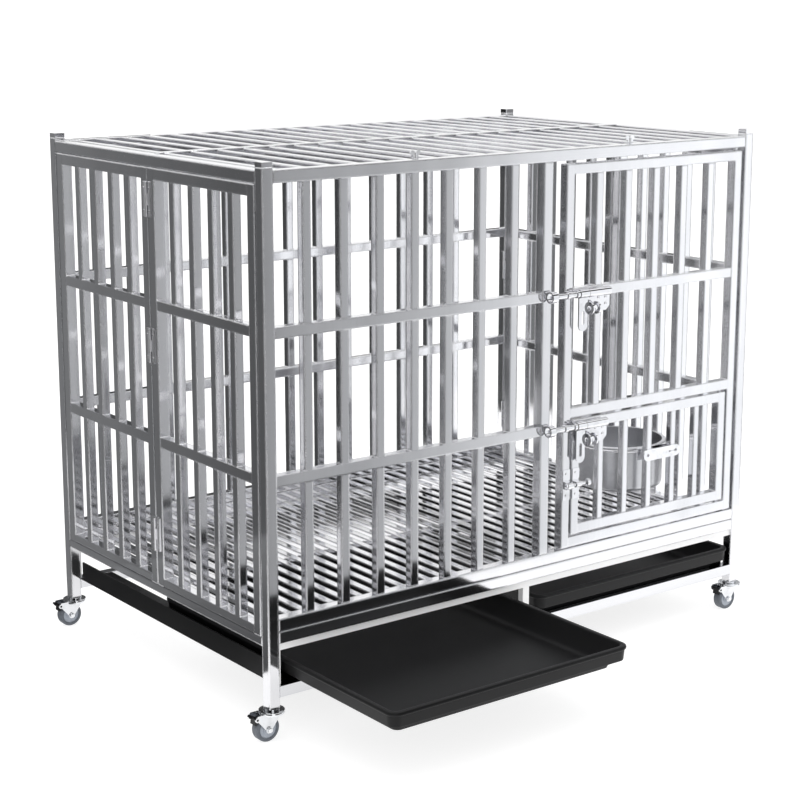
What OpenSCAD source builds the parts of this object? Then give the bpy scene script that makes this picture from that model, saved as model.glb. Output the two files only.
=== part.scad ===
// Heavy duty dog crate of welded square steel tube.
// Two doors with slide bolts, folding side panels, two pull-out trays, a hung bowl and swivel casters.
// Lengths are millimetres. Inside the modules a place is measured from the crate's left side,
// from its front side and from the lower end of the posts.

/* [Crate] */
// Length of the crate, left to right
crate_l = 1070; // [960:5:1300]
// Depth of the crate, front to back
crate_d = 695; // [620:5:900]
// Length of a corner post
post_l = 858; // [800:1:1000]
// Height from the ground to the lower end of the posts
caster_h = 53; // [50:0.5:70]

/* [Tubes] */
// Side of the square post tube
post_w = 20; // [18:0.5:24]
// Wall of the post tube
post_wall = 1.5; // [1:0.1:2.5]
// Side of the square rail tube
rail_w = 20; // [18:0.5:20]
// Side of the square tube of mid rails and door frames
frame_w = 18; // [17:0.25:19]
// Side of the square upright bars
bar_w = 15.5; // [12:0.25:15.5]
// Rounding of the tube edges
edge_r = 1.2; // [0.6:0.1:1.2]

/* [Levels above the posts' lower ends] */
// Underside of the lower tray rails
tray_rail_h = 16; // [10:1:24]
// Underside of the strip above the trays
tray_strip_h = 94; // [90:1:96]
// Underside of the floor frame
floor_h = 106; // [105:1:112]
// Underside of the lower mid rails
low_mid_h = 361; // [340:1:380]
// Underside of the upper mid rails
high_mid_h = 595; // [540:1:640]
// Drop from the post's end to the upper face of the top rails
top_drop = 5; // [2:1:15]

/* [Bars] */
// Bars in the fixed part of the front
front_bar_n = 7; // [4:1:9]
// Bars in the back panel
back_bar_n = 14; // [8:1:18]
// Bars in one leaf of a side panel
leaf_bar_n = 4; // [2:1:6]
// Bars in the upper part of the big door
door_bar_n = 5; // [3:1:6]
// Bars in the floor grate
floor_bar_n = 35; // [20:1:40]
// Width of a floor bar
floor_bar_w = 15; // [10:0.5:17]
// Thickness of a floor bar
floor_bar_t = 9; // [6:0.5:9]
// Bars in the top grate
top_bar_n = 20; // [10:1:24]
// Side of a top bar
top_bar_w = 11; // [8:0.5:14]
// Side of the top grate's middle rail
top_mid_w = 15; // [14:0.5:18]
// Space between the left top rail and the first top bar
top_left_gap = 11; // [5:1:45]
// Space between the last top bar and the right top rail
top_right_gap = 36; // [5:1:45]

/* [Doors] */
// Left face of the upright that the doors lock to
jamb_x = 562; // [480:1:580]
// Space between that upright and the big door
door_gap_left = 32; // [28:0.5:36]
// Space between the big door and the right post
door_gap_right = 6.5; // [6:0.5:14]
// Space above the big door
door_gap_top = 6; // [2:0.5:8]
// Space below the big door
door_gap_low = 2; // [1:0.5:5]
// Side of the feeding door's square bars
feed_bar_w = 12.5; // [10:0.25:15.5]
// Space around the feeding door
feed_gap = 4; // [3.5:0.5:6]
// Radius of the doors' pivot pins
pivot_r = 4; // [3:0.1:5]
// Depth of the pivot pins in their rails
pivot_l = 12; // [8:0.5:14]

/* [Slide bolts] */
// Radius of the bolt
bolt_r = 5; // [4:0.1:5.5]
// Radius of the barrel that guides the bolt
barrel_r = 8; // [7:0.1:10]
// Length of the barrel
barrel_l = 50; // [40:1:70]
// Travel of the bolt into its keeper
bolt_travel = 25; // [15:1:25]
// Thickness of the latch plates
plate_t = 2; // [1.5:0.1:3]
// Width of the latch base plate
plate_w = 60; // [50:1:80]
// Height of the latch base plate below the bolt
plate_drop = 36; // [33:0.5:45]
// Width of the hasp tongue and of its sleeve
tongue_w = 20; // [14:0.5:20]
// Length of the hasp tongue below the bolt
tongue_l = 66; // [50:1:80]
// Thickness of the hasp tongue
tongue_t = 3; // [2:0.1:4]
// Radius of the padlock eyes
eye_r = 11; // [9:0.5:12]
// Radius of the hole in the padlock eyes
eye_hole_r = 4.5; // [3:0.1:5]
// Thickness of a padlock eye
eye_t = 3; // [2:0.1:4]
// Distance between the two padlock eyes
eye_pitch = 15; // [10:0.5:18]

/* [Feed latch] */
// Height of the feed latch
feed_latch_h = 265; // [230:1:300]
// Length of the feed latch plates
feed_plate_l = 55; // [40:1:70]
// Width of the feed latch plates
feed_plate_w = 16; // [14:0.5:17]
// Radius of the feed latch bolt
feed_bolt_r = 3; // [2:0.1:3.5]
// Travel of the feed latch bolt
feed_travel = 12; // [10:0.5:12]

/* [Fold hinges] */
// Length of a hinge
hinge_l = 58; // [40:1:70]
// Width of one hinge plate
hinge_w = 12; // [10:0.5:14]
// Thickness of a hinge plate
hinge_t = 2; // [1.5:0.1:2.4]
// Radius of a hinge knuckle
knuckle_r = 2.6; // [2.2:0.1:2.8]
// Radius of a hinge pin
pin_r = 1.4; // [1:0.1:1.6]
// Distance from the panel's face to the hinge axis
hinge_off = 3; // [2.9:0.1:4]
// Space between a leaf and its post
leaf_gap = 3; // [3:0.5:5]
// Space between the two leaves of a side panel
fold_gap = 2; // [1:0.5:3]

/* [Trays] */
// Width of the left tray over its rim; the right tray takes the rest of the length
tray_w = 484; // [420:1:500]
// Space between a tray's rim and the sides of its bay
tray_gap = 13; // [4:0.5:16]
// Depth of a tray over its rim
tray_d = 672; // [560:1:680]
// Height of a tray
tray_height = 40; // [25:1:50]
// Wall of a tray
tray_wall = 2.5; // [1.5:0.1:4]
// Width of the tray's rim
tray_rim_w = 8; // [6:0.5:12]
// Depth of the lip turned down from the rim
tray_lip = 6; // [3:0.5:10]
// Corner radius of the tray's rim
tray_rim_r = 20; // [14:1:30]
// Height of the tray's upright foot
tray_foot = 4; // [2:0.5:6]
// Overhang of the trays in front of the posts
tray_front = 12; // [0:1:16]
// Lean of the tray's walls from top to bottom
tray_lean = 15; // [3:0.5:18]
// Distance that the left tray is drawn out
tray_out = 268; // [0:1:300]

/* [Bowl] */
// Radius of the bowl's wall
bowl_r = 82; // [70:1:90]
// Height of the bowl
bowl_h = 86; // [60:1:95]
// Wall of the bowl
bowl_wall = 1.5; // [1:0.1:3]
// Width of the bowl's rim
bowl_rim_w = 6; // [5:0.5:9]
// Height of the bowl's rim
bowl_rim_h = 294; // [260:1:310]
// Radius of the wire of the bowl's ring
ring_wire_r = 3; // [2:0.1:4]
// Width of the clamp plate
clamp_w = 92; // [80:1:110]
// Height of the clamp plate
clamp_h = 21; // [16:0.5:26]
// Thickness of the clamp plate
clamp_t = 3; // [2:0.1:5]

/* [Casters] */
// Radius of a wheel
wheel_r = 21.5; // [16:0.5:21.5]
// Width of a wheel
wheel_w = 17; // [12:0.5:19]
// Distance from the swivel axis to the wheel's axle
trail = 12; // [8:0.5:14]
// Thickness of the fork's cheeks
cheek_t = 2; // [1.5:0.1:3]
// Radius of the axle
axle_r = 3; // [2:0.1:4]
// Radius of the fork's head
head_r = 21; // [14:0.5:23]
// Radius of the swivel pin
king_r = 4; // [3:0.1:5]

/* [Hidden] */
$fn = 48;
// Facets of the small tube edges and of hull children
edge_fn = 16;
hull_fn = 32;
// Overrun of every cut
over = 1;
// Running clearance of pins and bolts, and room between other faces
run_fit = 0.05;
clear = 0.3;
// Depth of a welded tube end in its neighbour, and the step between their faces
weld = 2;
weld_step = 0.2;

// Middle planes of the walls
side_left = post_w / 2;
side_right = crate_l - post_w / 2;
wall_front = post_w / 2;
wall_back = crate_d - post_w / 2;

// Inner faces of the posts
in_left = post_w;
in_right = crate_l - post_w;
in_front = post_w;
in_back = crate_d - post_w;

// Levels of the panels
top_rail_h = post_l - top_drop - rail_w;
floor_top = floor_h + rail_w;
panel_gap = 1;
panel_h = floor_top + panel_gap;
panel_lo = panel_h + rail_w;
floor_side_t = 14;
floor_side_drop = 5;
floor_bar_top = floor_h + floor_side_t - floor_side_drop;
leaf_clear = 1;
leaf_low_t = 14;
leaf_lo = floor_bar_top + leaf_clear;
leaf_hi = top_rail_h - panel_gap;
mid_hs = [low_mid_h, high_mid_h];

// Side leaves
leaf_w = (in_back - in_front - 2 * leaf_gap - fold_gap) / 2;
front_leaf_y = in_front + leaf_gap;
rear_leaf_y = front_leaf_y + leaf_w + fold_gap;
fold_y = front_leaf_y + leaf_w + fold_gap / 2;
hinge_bay_los = [leaf_lo, low_mid_h + frame_w, high_mid_h + frame_w];
hinge_bay_his = [low_mid_h, high_mid_h, leaf_hi];
// Where each hinge sits in its bay between the mid rails
hinge_shares = [0.368229, 0.714944, 0.758064];
hinge_hs = [for (k = [0 : len(hinge_shares) - 1])
    hinge_bay_los[k] + hinge_shares[k] * (hinge_bay_his[k] - hinge_bay_los[k])];
knuckle_n = 3;
// How far the free end of a side panel runs out before its leaves fold in, and the room that leaves its knuckles
fold_reach = leaf_w + (leaf_gap + fold_gap) / 2;
fold_offset = post_w + 2 * hinge_off;
fold_travel = 2 * (sqrt(fold_reach * fold_reach + fold_offset * fold_offset) - fold_reach);
knuckle_relief = knuckle_r + fold_travel + 2 * clear;

// Doors
door_x = jamb_x + rail_w + door_gap_left;
door_end = in_right - door_gap_right;
door_lo = panel_lo + door_gap_low;
door_hi = top_rail_h - door_gap_top;
cross_h = low_mid_h + frame_w + clear + feed_gap;
door_pivot_x = door_end - frame_w / 2;
feed_x = door_x + frame_w + feed_gap;
feed_end = door_end - frame_w - feed_gap;
feed_lo = door_lo + frame_w + feed_gap;
feed_hi = low_mid_h + frame_w;
feed_bar_n = door_bar_n;
feed_pivot_x = feed_end - frame_w / 2;
door_face = wall_front - frame_w / 2;

// Slide bolts
upper_bolt_h = high_mid_h + frame_w / 2;
lower_bolt_h = low_mid_h + frame_w / 2;
bolt_y = door_face - plate_t - barrel_r;
tongue_x = feed_x;
barrel_x = tongue_x + tongue_w + 2 * clear;
collar_l = 6;
collar_r = 6.8;
keeper_l = 12;
keeper_end = jamb_x + rail_w;
tip_gap = 5;
bolt_x = keeper_end + tip_gap;
collar_xs = [keeper_end + bolt_travel + 2 * clear, tongue_x - 2 * clear - collar_l];
keeper_r = barrel_r + weld;
keeper_clear = 2.4;
jamb_face = wall_front - rail_w / 2;
saddle_h = 10;
plate_x = barrel_x - clear;
plate_corner = 8;
eye_y = door_face - plate_t / 2 - eye_r;
eye_x = barrel_x + eye_t;
eye_drop = plate_drop - eye_r + plate_t;
slot_w = 6;
slot_l = 24;
slot_drop = 34;

// Feed latch
feed_mid_x = feed_x + frame_w / 2;
keeper_mid_x = door_x + frame_w / 2;
feed_barrel_l = 12;
feed_knob_r = 6.5;
feed_knob_l = 7;
feed_bolt_y = door_face - plate_t - feed_knob_r - clear;
feed_keeper_clear = 1.6;
screw_r = 2.5;
screw_t = 1;

// Bowl
feed_bars = even_places(feed_x + frame_w, feed_end - frame_w, feed_bar_n, feed_bar_w);
clamp_bar = floor(feed_bar_n / 2);
bowl_x = (feed_bars[clamp_bar] + feed_bar_w + feed_bars[clamp_bar + 1]) / 2;
ring_r = bowl_r + over + ring_wire_r;
bar_front = wall_front - feed_bar_w / 2;
bar_back = wall_front + feed_bar_w / 2;
ring_stem = 10;
ring_stem_share = 0.3;
bowl_y = bar_back + clamp_t + ring_stem + ring_r;
bowl_rim_t = 4;
bowl_fillet = 9;
ring_h = bowl_rim_h - bowl_rim_t - clear - ring_wire_r;
clamp_screw_r = 4;
clamp_knob_r = 9;
clamp_knob_t = 5;
key_r = 3;
key_l = 18;
key_w = 3;

// Trays
runner_w = 26;
runner_t = 5;
guide_gap = 4;
guide_t = 3;
guide_h = 35;
strip_t = floor_h - tray_strip_h - clear;
strip_leg_w = 4;
strip_d = 12;
divider_w = 10;
tray_top_rail = tray_rail_h + rail_w;
tray_z = tray_top_rail + clear;
tray_rim_t = 3;
left_tray_x = in_left + tray_gap;
divider_x = left_tray_x + tray_w + tray_gap;
right_tray_x = divider_x + divider_w + tray_gap;
right_tray_w = in_right - tray_gap - right_tray_x;
runner_inset = tray_rim_w + tray_lean + tray_wall;
tray_corner_r = tray_rim_r - tray_rim_w;

// Top grate
top_flat_w = 10;
top_flat_t = 5;
top_bar_h = top_rail_h + rail_w - top_bar_w;
top_flat_h = top_bar_h - top_flat_t;
wing_shares = [0.287, 0.73];
wing_r = 4;
wing_stud_r = 3;
wing_t = 2.5;
wing_h = 9;
wing_base = 4;

// Casters
cap_t = 7.5;
plug_l = 14;
stem_l = 25;
flange_r = 13;
flange_t = 3;
head_t = 3;
skirt_h = 3;
skirt_t = 2;
head_z = caster_h - flange_t - clear - head_t;
rivet_r = 6;
rivet_t = 2.5;
cheek_gap = wheel_w / 2 + over;
boss_r = 6;
hub_r = 9;
tread_round = 3;
groove_d = 1.5;
brake_w = wheel_w - 2 * over;
brake_t = 2.5;
brake_l = 12;
brake_pin_r = 2;
brake_pivot_x = trail + wheel_r;
brake_pivot_z = head_z - rivet_t - brake_pin_r;
brake_tilt = 24;
shoe_tilt = 6;
shoe_l = 10;
post_xs = [side_left, side_right];
post_ys = [wall_front, wall_back];

steel = "silver";
dark_steel = "gainsboro";
black_plastic = [0.08, 0.08, 0.08];
rubber_grey = "dimgray";

// Left edges of n things of width w, spread evenly between two faces
function even_places(lo, hi, n, w) =
    let (gap = (hi - lo - n * w) / (n + 1)) [for (i = [0 : n - 1]) lo + gap + i * (gap + w)];

// Moves a piece from the crate's own corner to the part's frame
module from_corner() translate([-crate_l / 2, -crate_d / 2, caster_h]) children();

// Outline of a rectangular tube with rounded edges, its corner at the origin
module tube_outline(a, b) {
    translate([edge_r, 0]) square([a - 2 * edge_r, b]);
    translate([0, edge_r]) square([a, b - 2 * edge_r]);
    for (x = [edge_r, a - edge_r], y = [edge_r, b - edge_r])
        translate([x, y]) circle(edge_r, $fn = edge_fn);
}

// Tube along X, centred on y
module rail_x(x0, x1, y, h, wy, wz)
    translate([x0, y - wy / 2, h]) rotate([90, 0, 90]) linear_extrude(x1 - x0) tube_outline(wy, wz);

// Tube along Y, centred on x
module rail_y(y0, y1, x, h, wx, wz)
    translate([x - wx / 2, y1, h]) rotate([90, 0, 0]) linear_extrude(y1 - y0) tube_outline(wx, wz);

// Upright tube, centred on x and y
module upright(x, y, h0, h1, wx, wy)
    translate([x - wx / 2, y - wy / 2, h0]) linear_extrude(h1 - h0) tube_outline(wx, wy);

// Cylinder along X from x0 to x1
module rod_x(x0, x1, y, h, r) translate([x0, y, h]) rotate([0, 90, 0]) cylinder(r = r, h = x1 - x0);

// Cylinder along Y from y0 to y1
module rod_y(y0, y1, x, h, r) translate([x, y1, h]) rotate([90, 0, 0]) cylinder(r = r, h = y1 - y0);

// Upright bars with the mid rails that they pass through
module grille_x(x0, x1, y, h0, h1, n, hs) {
    for (x = even_places(x0, x1, n, bar_w)) upright(x + bar_w / 2, y, h0, h1, bar_w, bar_w);
    for (h = hs) rail_x(x0, x1, y, h, frame_w, frame_w);
}

// Hollow corner post
module post(x, y) color(steel) from_corner() difference() {
    upright(x, y, 0, post_l, post_w, post_w);
    translate([x - post_w / 2 + post_wall, y - post_w / 2 + post_wall, -over])
        cube([post_w - 2 * post_wall, post_w - 2 * post_wall, post_l + 2 * over]);
}

// Square plug that fits inside a post
module post_plug(l) {
    w = post_w - 2 * post_wall - 2 * clear;
    translate([-w / 2, -w / 2, 0]) cube([w, w, l]);
}

module post_caps() color(dark_steel) from_corner()
    for (x = post_xs, y = post_ys) translate([x, y, post_l]) {
        upright(0, 0, 0, cap_t, post_w, post_w);
        translate([0, 0, -plug_l]) post_plug(plug_l + weld);
    }

// Fixed front wall
module front_top_rail() color(steel) from_corner() difference() {
    rail_x(in_left, in_right, wall_front, top_rail_h, rail_w, rail_w);
    translate([door_pivot_x, wall_front, top_rail_h - over])
        cylinder(r = pivot_r + run_fit, h = pivot_l + clear + over);
}

module front_bottom_rail() color(steel) from_corner() difference() {
    rail_x(in_left, in_right, wall_front, panel_h, rail_w, rail_w);
    translate([door_pivot_x, wall_front, panel_lo - pivot_l - clear])
        cylinder(r = pivot_r + run_fit, h = pivot_l + clear + over);
}

module door_jamb() color(steel) from_corner()
    upright(jamb_x + rail_w / 2, wall_front, panel_lo, top_rail_h, rail_w, rail_w);

module front_bars() color(steel) from_corner()
    grille_x(in_left, jamb_x, wall_front, panel_lo, top_rail_h, front_bar_n, mid_hs);

// Back wall
module back_frame() color(steel) from_corner()
    for (h = [panel_h, top_rail_h]) rail_x(in_left, in_right, wall_back, h, rail_w, rail_w);

module back_bars() color(steel) from_corner()
    grille_x(in_left, in_right, wall_back, panel_lo, top_rail_h, back_bar_n, mid_hs);

// Top grate between the front and back walls
module top_frame() color(steel) from_corner() {
    for (x = post_xs) rail_y(in_front, in_back, x, top_rail_h, rail_w, rail_w);
    for (y = [in_front, in_back - top_flat_w])
        translate([in_left - weld, y, top_flat_h])
            cube([in_right - in_left + 2 * weld, top_flat_w, top_flat_t]);
}

module top_bars() color(steel) from_corner() {
    first = in_left + top_left_gap + top_bar_w / 2;
    last = in_right - top_right_gap - top_bar_w / 2;
    pitch = (last - first) / (top_bar_n - 1);
    for (i = [0 : top_bar_n - 1])
        rail_y(in_front, in_back, first + i * pitch, top_bar_h, top_bar_w, top_bar_w);
    rail_x(in_left, in_right, crate_d / 2, top_bar_h - (top_mid_w - top_bar_w) / 2, top_mid_w, top_mid_w);
}

// Wing screws that hold the top grate's front strip
module top_screws() color(dark_steel) from_corner()
    for (s = wing_shares) translate([s * crate_l, in_front + top_flat_w / 2, top_flat_h + top_flat_t]) {
        cylinder(r = wing_r, h = wing_base);
        cylinder(r = wing_stud_r, h = top_bar_w + wing_h);
        for (m = [0, 1]) mirror([m, 0, 0])
            translate([wing_stud_r - over, wing_t / 2, top_bar_w]) rotate([90, 0, 0]) linear_extrude(wing_t) {
                square([wing_r, wing_h]);
                translate([wing_r, wing_h]) circle(wing_r);
            }
    }

// Floor grate
module floor_frame() color(steel) from_corner() {
    for (y = post_ys) rail_x(in_left, in_right, y, floor_h, rail_w, rail_w);
    for (x = post_xs) rail_y(in_front, in_back, x, floor_h - floor_side_drop, rail_w, floor_side_t);
}

module floor_bars() color(steel) from_corner() {
    for (x = even_places(in_left, in_right, floor_bar_n, floor_bar_w))
        rail_y(in_front, in_back, x + floor_bar_w / 2, floor_bar_top - floor_bar_t, floor_bar_w, floor_bar_t);
    rail_x(in_left, in_right, crate_d / 2, floor_bar_top - floor_bar_t - frame_w + weld, frame_w, frame_w);
}

// Rails, strip and dividers that form the two tray bays
module tray_frame() color(steel) from_corner()
    for (y = post_ys) {
        rail_x(in_left, in_right, y, tray_rail_h, rail_w, rail_w);
        translate([in_left, y - strip_d / 2, tray_strip_h])
            cube([in_right - in_left, strip_d, strip_t]);
        for (leg = [[in_left, strip_leg_w], [divider_x, divider_w + strip_leg_w]])
            translate([leg[0], y - strip_d / 2, tray_top_rail - weld])
                cube([leg[1], strip_d, tray_strip_h - tray_top_rail + 2 * weld]);
    }

// Plain runners beside the divider, and channels with a side wall at the crate's two sides
module tray_runners() color(black_plastic) from_corner() translate([0, in_front, tray_top_rail - runner_t]) {
    for (x = [left_tray_x + tray_w - runner_inset - runner_w, right_tray_x + runner_inset])
        translate([x, 0, 0]) cube([runner_w, in_back - in_front, runner_t]);
    left_end = left_tray_x + runner_inset + runner_w;
    right_end = right_tray_x + right_tray_w - runner_inset - runner_w;
    for (span = [[in_left + guide_gap, left_end], [right_end, in_right - guide_gap]])
        translate([span[0], 0, 0]) cube([span[1] - span[0], in_back - in_front, runner_t]);
    for (x = [in_left + guide_gap, in_right - guide_gap - guide_t])
        translate([x, 0, 0]) cube([guide_t, in_back - in_front, guide_h]);
}

// Shallow tray with leaning walls and a turned-down rim, its lower front corner at the origin
module tray_corners(w, inset)
    for (x = [inset, w - inset], y = [inset, tray_d - inset]) translate([x, y, 0]) children();

module tray_body(w, shrink, z0, z1) hull() {
    r = tray_corner_r - shrink;
    tray_corners(w, tray_rim_r + tray_lean) translate([0, 0, z0]) cylinder(r = r, h = tray_foot, $fn = hull_fn);
    tray_corners(w, tray_rim_r) translate([0, 0, z1 - tray_foot]) cylinder(r = r, h = tray_foot, $fn = hull_fn);
}

module tray_rim_outline(w, shrink) {
    for (x = [tray_rim_r, w - tray_rim_r], y = [tray_rim_r, tray_d - tray_rim_r])
        translate([x, y]) circle(tray_rim_r - shrink);
    translate([shrink, tray_rim_r]) square([w - 2 * shrink, tray_d - 2 * tray_rim_r]);
    translate([tray_rim_r, shrink]) square([w - 2 * tray_rim_r, tray_d - 2 * shrink]);
}

module tray(w) color(black_plastic) difference() {
    union() {
        tray_body(w, 0, 0, tray_height);
        translate([0, 0, tray_height - tray_rim_t]) linear_extrude(tray_rim_t) tray_rim_outline(w, 0);
        translate([0, 0, tray_height - tray_rim_t - tray_lip]) linear_extrude(tray_lip + weld) difference() {
            tray_rim_outline(w, 0);
            tray_rim_outline(w, tray_wall);
        }
    }
    tray_body(w, tray_wall, tray_wall, tray_height + clear);
}

module left_tray() from_corner() translate([left_tray_x, -tray_front - tray_out, tray_z]) tray(tray_w);
module right_tray() from_corner() translate([right_tray_x, -tray_front, tray_z]) tray(right_tray_w);

// One leaf of a side panel, along X from the origin
module leaf_panel() {
    for (x = [rail_w / 2, leaf_w - rail_w / 2]) upright(x, 0, leaf_lo, leaf_hi, rail_w, rail_w);
    for (at = [[leaf_lo, leaf_low_t], [leaf_hi - rail_w, rail_w]])
        rail_x(rail_w - weld, leaf_w - rail_w + weld, 0, at[0], rail_w - 2 * weld_step, at[1]);
    for (h = mid_hs) rail_x(rail_w - weld, leaf_w - rail_w + weld, 0, h, frame_w, frame_w);
    for (x = even_places(rail_w, leaf_w - rail_w, leaf_bar_n, bar_w))
        upright(x + bar_w / 2, 0, leaf_lo + leaf_low_t - weld, leaf_hi - rail_w + weld, bar_w, bar_w);
}

module leaf(x, y) color(steel) from_corner() translate([x, y, 0]) rotate([0, 0, 90]) leaf_panel();

// Half a hinge about the Z axis. Its plate lies along +X, on a face that is hinge_off below the axis.
// The outer half carries the end knuckles and the pin, the inner half the bored middle knuckle.
module hinge_half(inner, with_pin) {
    z_at = [for (k = [0 : knuckle_n]) -hinge_l / 2 + k * hinge_l / knuckle_n];
    difference() {
        union() {
            translate([knuckle_relief, -hinge_off, -hinge_l / 2])
                cube([hinge_w - knuckle_relief, hinge_t, hinge_l]);
            for (k = [0 : knuckle_n - 1]) if ((k % 2 == 1) == inner)
                translate([0, 0, z_at[k] + clear / 2]) {
                    cylinder(r = knuckle_r, h = z_at[k + 1] - z_at[k] - clear);
                    translate([0, -hinge_off, 0])
                        cube([knuckle_relief + weld, hinge_t, z_at[k + 1] - z_at[k] - clear]);
                }
            if (with_pin) translate([0, 0, -hinge_l / 2 + clear]) cylinder(r = pin_r, h = hinge_l - 2 * clear);
        }
        if (!with_pin) translate([0, 0, -hinge_l / 2]) cylinder(r = pin_r + run_fit, h = hinge_l);
    }
}

// A hinge half at each hinge height. dir is the way its plate runs along Y, out the way its axis stands off in X.
module hinge_row(x, y, dir, out, inner, with_pin)
    for (h = hinge_hs) translate([x, y, h])
        multmatrix([[0, out, 0, 0], [dir, 0, 0, 0], [0, 0, 1, 0], [0, 0, 0, 1]])
            hinge_half(inner, with_pin);

// Hinge halves on the four posts; the front ones are left open, without a pin
module post_hinges() color(dark_steel) from_corner()
    for (side = [0, 1]) {
        out = side == 0 ? 1 : -1;
        x = side == 0 ? in_left + hinge_off : in_right - hinge_off;
        hinge_row(x, in_back - leaf_gap / 2, 1, out, false, true);
        hinge_row(x, in_front + leaf_gap / 2, -1, out, false, false);
    }

// Hinge halves on a rear leaf: at its post inside, and at the fold outside
module rear_hinges(side) color(dark_steel) from_corner() {
    out = side == 0 ? 1 : -1;
    hinge_row(side == 0 ? in_left + hinge_off : in_right - hinge_off, in_back - leaf_gap / 2, -1, out, true, false);
    hinge_row(side == 0 ? -hinge_off : crate_l + hinge_off, fold_y, 1, -out, false, true);
}

// Hinge halves on a front leaf: at its post inside, and at the fold outside
module front_hinges(side) color(dark_steel) from_corner() {
    out = side == 0 ? 1 : -1;
    hinge_row(side == 0 ? in_left + hinge_off : in_right - hinge_off, in_front + leaf_gap / 2, 1, out, true, false);
    hinge_row(side == 0 ? -hinge_off : crate_l + hinge_off, fold_y, -1, -out, true, false);
}

// Big door: a frame with a cross rail above the feeding door, hung on two pivot pins
module big_door_frame() color(steel) from_corner() difference() {
    union() {
        for (x = [door_x + frame_w / 2, door_pivot_x])
            upright(x, wall_front, door_lo, door_hi, frame_w, frame_w);
        for (h = [door_lo, cross_h, door_hi - frame_w])
            rail_x(door_x + frame_w - weld, door_end - frame_w + weld, wall_front, h,
                frame_w - 2 * weld_step, frame_w);
        translate([door_pivot_x, wall_front, door_lo - door_gap_low - pivot_l])
            cylinder(r = pivot_r, h = door_hi - door_lo + door_gap_low + door_gap_top + 2 * pivot_l);
    }
    for (h = [door_lo + frame_w - pivot_l - clear, cross_h - over])
        translate([feed_pivot_x, wall_front, h]) cylinder(r = pivot_r + run_fit, h = pivot_l + clear + over);
}

module big_door_bars() color(steel) from_corner()
    grille_x(door_x + frame_w, door_end - frame_w, wall_front, cross_h + frame_w, door_hi - frame_w,
        door_bar_n, [high_mid_h]);

// Feeding door, hung on two pivot pins in the big door
module small_door_frame() color(steel) from_corner() {
    for (x = [feed_x + frame_w / 2, feed_pivot_x])
        upright(x, wall_front, feed_lo, feed_hi, frame_w, frame_w);
    for (h = [feed_lo, feed_hi - frame_w])
        rail_x(feed_x + frame_w - weld, feed_end - frame_w + weld, wall_front, h,
            frame_w - 2 * weld_step, frame_w);
    translate([feed_pivot_x, wall_front, feed_lo - feed_gap - pivot_l])
        cylinder(r = pivot_r, h = cross_h + pivot_l - feed_lo + feed_gap + pivot_l);
}

module small_door_bars() color(steel) from_corner()
    for (x = feed_bars)
        upright(x + feed_bar_w / 2, wall_front, feed_lo + frame_w, feed_hi - frame_w, feed_bar_w, feed_bar_w);

// Base plate, barrel and padlock eyes of a slide bolt at height h
module bolt_housing(h) color(dark_steel) from_corner() difference() {
    union() {
        translate([plate_x, door_face, h - plate_drop]) rotate([90, 0, 0]) linear_extrude(plate_t)
            polygon([[0, 0], [plate_w - plate_corner, 0], [plate_w, plate_corner], [plate_w, plate_drop],
                [0, plate_drop]]);
        rod_x(barrel_x, barrel_x + barrel_l, bolt_y, h, barrel_r);
        translate([barrel_x, bolt_y, h - saddle_h / 2]) cube([barrel_l, barrel_r + plate_t / 2, saddle_h]);
        for (i = [0, 1]) rod_x(eye_x + i * eye_pitch, eye_x + i * eye_pitch + eye_t, eye_y, h - eye_drop, eye_r);
    }
    rod_x(barrel_x - over, barrel_x + barrel_l + over, bolt_y, h, bolt_r + run_fit);
    rod_x(eye_x - over, eye_x + eye_pitch + eye_t + over, eye_y, h - eye_drop, eye_hole_r);
}

// Round bolt with its two stop collars
module slide_bolt(h) color(dark_steel) from_corner() {
    rod_x(bolt_x, barrel_x + barrel_l, bolt_y, h, bolt_r);
    for (x = collar_xs) rod_x(x, x + collar_l, bolt_y, h, collar_r);
}

// Hasp tongue that hangs from a sleeve on the bolt
module hasp(h) color(dark_steel) from_corner() difference() {
    union() {
        rod_x(tongue_x, tongue_x + tongue_w, bolt_y, h, barrel_r);
        translate([tongue_x, bolt_y + tongue_t / 2, h]) rotate([90, 0, 0]) linear_extrude(tongue_t) {
            translate([0, -tongue_l + tongue_w / 2]) square([tongue_w, tongue_l - tongue_w / 2]);
            translate([tongue_w / 2, -tongue_l + tongue_w / 2]) circle(tongue_w / 2);
        }
    }
    rod_x(tongue_x - over, tongue_x + tongue_w + over, bolt_y, h, bolt_r + run_fit);
    translate([tongue_x + tongue_w / 2, bolt_y + tongue_t, h - slot_drop]) rotate([90, 0, 0])
        linear_extrude(2 * tongue_t) {
            translate([-slot_w / 2, -slot_l + slot_w]) square([slot_w, slot_l - slot_w]);
            for (y = [0, -slot_l + slot_w]) translate([0, y]) circle(slot_w / 2);
        }
}

// Keepers on the jamb that take the ends of the slide bolts
module bolt_keepers() color(dark_steel) from_corner()
    for (h = [upper_bolt_h, lower_bolt_h]) difference() {
        union() {
            rod_x(keeper_end - keeper_l, keeper_end, bolt_y, h, keeper_r);
            translate([keeper_end - keeper_l, bolt_y, h - saddle_h / 2])
                cube([keeper_l, jamb_face - bolt_y, saddle_h]);
        }
        translate([keeper_end - keeper_l - over, jamb_face, h - 2 * keeper_r])
            cube([keeper_l + 2 * over, 2 * keeper_r, 4 * keeper_r]);
        rod_x(keeper_end - keeper_l - over, keeper_end + over, bolt_y, h, bolt_r + keeper_clear);
    }

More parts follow.
